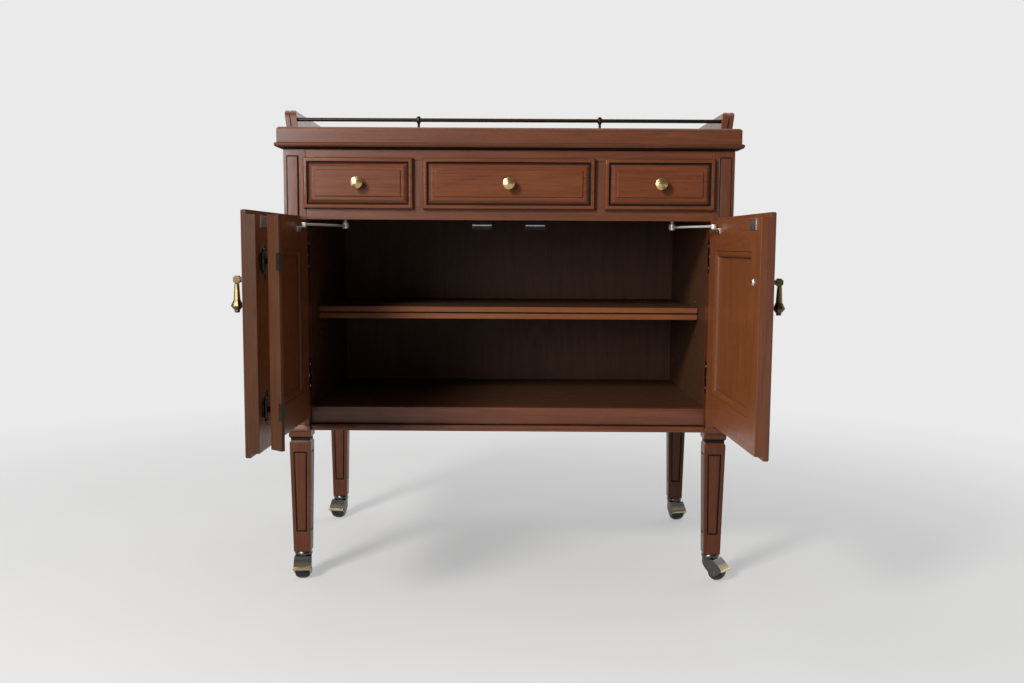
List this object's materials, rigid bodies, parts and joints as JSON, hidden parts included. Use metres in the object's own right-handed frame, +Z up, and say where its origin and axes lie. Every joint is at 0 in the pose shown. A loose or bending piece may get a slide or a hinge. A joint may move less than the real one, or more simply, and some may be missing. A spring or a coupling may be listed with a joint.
{
  "type": "serving trolley",
  "caption": "Wooden serving trolley with drawers over a two-door cupboard, a low gallery round the top, tapered legs and hooded ball castors, doors standing open.",
  "frame": {"origin": "on the floor under the middle of the cabinet", "axes": "+Z up, the front with the doors faces -Y, +X to the right seen from the front"},
  "size_m": [0.7912, 0.8688, 0.8131],
  "materials": {
    "walnut": "satin lacquer with dark glaze",
    "inside_wood": "satin stain",
    "drawer_wood": "clear sealer",
    "bright_brass": "polished",
    "dark_brass": "antique",
    "nickel": "plated",
    "black_wheel": "gloss"
  },
  "bodies": {
    "cabinet": {"top_board": "walnut", "cornice_moulding": "walnut", "gallery_boards": "walnut", "gallery_rails": "dark_brass", "gallery_supports": "dark_brass", "corner_posts": "walnut", "post_hinge_leaves": "dark_brass", "front_rails": "walnut", "drawer_dividers": "walnut", "drawer_guides": "drawer_wood", "dust_board": "inside_wood", "bottom_board": "inside_wood", "side_panel_right": "walnut", "side_panel_left": "walnut", "shelf_pins": "nickel", "side_rails": "walnut", "back_panel": "inside_wood", "back_rails": "walnut", "base_blocks": "walnut", "base_moulding": "walnut", "legs": "walnut", "shelf": "walnut", "door_catches": "nickel", "castor_cups": "dark_brass"},
    "left_drawer": {"left_drawer_front": "walnut", "left_drawer_box": "drawer_wood", "left_drawer_knob": "bright_brass"},
    "centre_drawer": {"centre_drawer_front": "walnut", "centre_drawer_box": "drawer_wood", "centre_drawer_knob": "bright_brass"},
    "right_drawer": {"right_drawer_front": "walnut", "right_drawer_box": "drawer_wood", "right_drawer_knob": "bright_brass"},
    "right_door": {"right_door_frame": "walnut", "right_door_panel": "walnut", "right_door_hinge_leaves": "dark_brass", "right_door_plates": "nickel", "right_pull_mount": "bright_brass"},
    "right_pull": {"right_pull_drop": "bright_brass"},
    "right_rod": {"right_stay_rod": "nickel"},
    "right_guide": {"right_stay_guide": "nickel"},
    "left_door": {"left_door_frame": "walnut", "left_door_panel": "walnut", "left_door_hinge_leaves": "dark_brass", "left_door_plates": "nickel", "left_pull_mount": "bright_brass"},
    "left_pull": {"left_pull_drop": "bright_brass"},
    "left_rod": {"left_stay_rod": "nickel"},
    "left_guide": {"left_stay_guide": "nickel"},
    "meeting_strip": {"meeting_strip": "walnut", "strip_hinge_leaves": "dark_brass"},
    "front_left_swivel": {"front_left_castor_hood": "dark_brass"},
    "front_left_wheel": {"front_left_castor_wheel": "black_wheel"},
    "front_right_swivel": {"front_right_castor_hood": "dark_brass"},
    "front_right_wheel": {"front_right_castor_wheel": "black_wheel"},
    "back_left_swivel": {"back_left_castor_hood": "dark_brass"},
    "back_left_wheel": {"back_left_castor_wheel": "black_wheel"},
    "back_right_swivel": {"back_right_castor_hood": "dark_brass"},
    "back_right_wheel": {"back_right_castor_wheel": "black_wheel"}
  },
  "joints": [
    {"name": "left_drawer_slide", "type": "slide", "parent": "cabinet", "child": "left_drawer", "axis": [0, -1, 0], "range_m": [0, 0.3]},
    {"name": "centre_drawer_slide", "type": "slide", "parent": "cabinet", "child": "centre_drawer", "axis": [0, -1, 0], "range_m": [0, 0.3]},
    {"name": "right_drawer_slide", "type": "slide", "parent": "cabinet", "child": "right_drawer", "axis": [0, -1, 0], "range_m": [0, 0.3]},
    {"name": "right_door_hinge", "type": "hinge", "parent": "cabinet", "child": "right_door", "pos_m": [0.356, -0.24635, 0.568], "axis": [0, 0, -1], "range_deg": [0, 91.7]},
    {"name": "right_pull_swing", "type": "hinge", "parent": "right_door", "child": "right_pull", "pos_m": [0.38573, -0.56561, 0.5355], "axis": [0.0297, -0.9996, 0], "range_deg": [0, 70]},
    {"name": "right_stay_pivot", "type": "hinge", "parent": "right_door", "child": "right_rod", "pos_m": [0.33239, -0.32905, 0.6182], "axis": [0, 0, -1], "range_deg": [-45.85, 0]},
    {"name": "right_guide_swivel", "type": "hinge", "parent": "cabinet", "child": "right_guide", "pos_m": [0.28398, -0.19935, 0.6182], "axis": [0, 0, -1], "range_deg": [0, 45.85]},
    {"name": "left_door_hinge", "type": "hinge", "parent": "cabinet", "child": "left_door", "pos_m": [-0.356, -0.24635, 0.568], "axis": [0, 0, 1], "range_deg": [0, 91.7]},
    {"name": "left_pull_swing", "type": "hinge", "parent": "left_door", "child": "left_pull", "pos_m": [-0.38573, -0.56561, 0.5355], "axis": [0.0297, 0.9996, 0], "range_deg": [0, 70]},
    {"name": "left_stay_pivot", "type": "hinge", "parent": "left_door", "child": "left_rod", "pos_m": [-0.33239, -0.32905, 0.6182], "axis": [0, 0, 1], "range_deg": [-45.85, 0]},
    {"name": "left_guide_swivel", "type": "hinge", "parent": "cabinet", "child": "left_guide", "pos_m": [-0.28398, -0.19935, 0.6182], "axis": [0, 0, 1], "range_deg": [0, 45.85]},
    {"name": "meeting_strip_hinge", "type": "hinge", "parent": "left_door", "child": "meeting_strip", "pos_m": [-0.34331, -0.58237, 0.562], "axis": [0, 0, -1], "range_deg": [0, 50]},
    {"name": "front_left_castor_swivel", "type": "hinge", "parent": "cabinet", "child": "front_left_swivel", "pos_m": [-0.361, -0.2211, 0.0465], "axis": [0, 0, 1], "continuous": true},
    {"name": "front_left_castor_roll", "type": "hinge", "parent": "front_left_swivel", "child": "front_left_wheel", "pos_m": [-0.36002, -0.23507, 0.0145], "axis": [0.9976, 0.0698, 0], "continuous": true},
    {"name": "front_right_castor_swivel", "type": "hinge", "parent": "cabinet", "child": "front_right_swivel", "pos_m": [0.361, -0.2211, 0.0465], "axis": [0, 0, 1], "continuous": true},
    {"name": "front_right_castor_roll", "type": "hinge", "parent": "front_right_swivel", "child": "front_right_wheel", "pos_m": [0.37203, -0.22972, 0.0145], "axis": [0.6157, 0.788, 0], "continuous": true},
    {"name": "back_left_castor_swivel", "type": "hinge", "parent": "cabinet", "child": "back_left_swivel", "pos_m": [-0.361, 0.2211, 0.0465], "axis": [0, 0, 1], "continuous": true},
    {"name": "back_left_castor_roll", "type": "hinge", "parent": "back_left_swivel", "child": "back_left_wheel", "pos_m": [-0.36439, 0.20752, 0.0145], "axis": [0.9703, -0.2419, 0], "continuous": true},
    {"name": "back_right_castor_swivel", "type": "hinge", "parent": "cabinet", "child": "back_right_swivel", "pos_m": [0.361, 0.2211, 0.0465], "axis": [0, 0, 1], "continuous": true},
    {"name": "back_right_castor_roll", "type": "hinge", "parent": "back_right_swivel", "child": "back_right_wheel", "pos_m": [0.36486, 0.20764, 0.0145], "axis": [0.9613, 0.2756, 0], "continuous": true}
  ],
  "couplings": [
    {"joint": "right_stay_pivot", "follows": "right_door_hinge", "ratio": -0.5},
    {"joint": "right_guide_swivel", "follows": "right_door_hinge", "ratio": 0.5},
    {"joint": "left_stay_pivot", "follows": "left_door_hinge", "ratio": -0.5},
    {"joint": "left_guide_swivel", "follows": "left_door_hinge", "ratio": 0.5},
    {"joint": "meeting_strip_hinge", "follows": "left_door_hinge", "ratio": 0.54526}
  ]
}
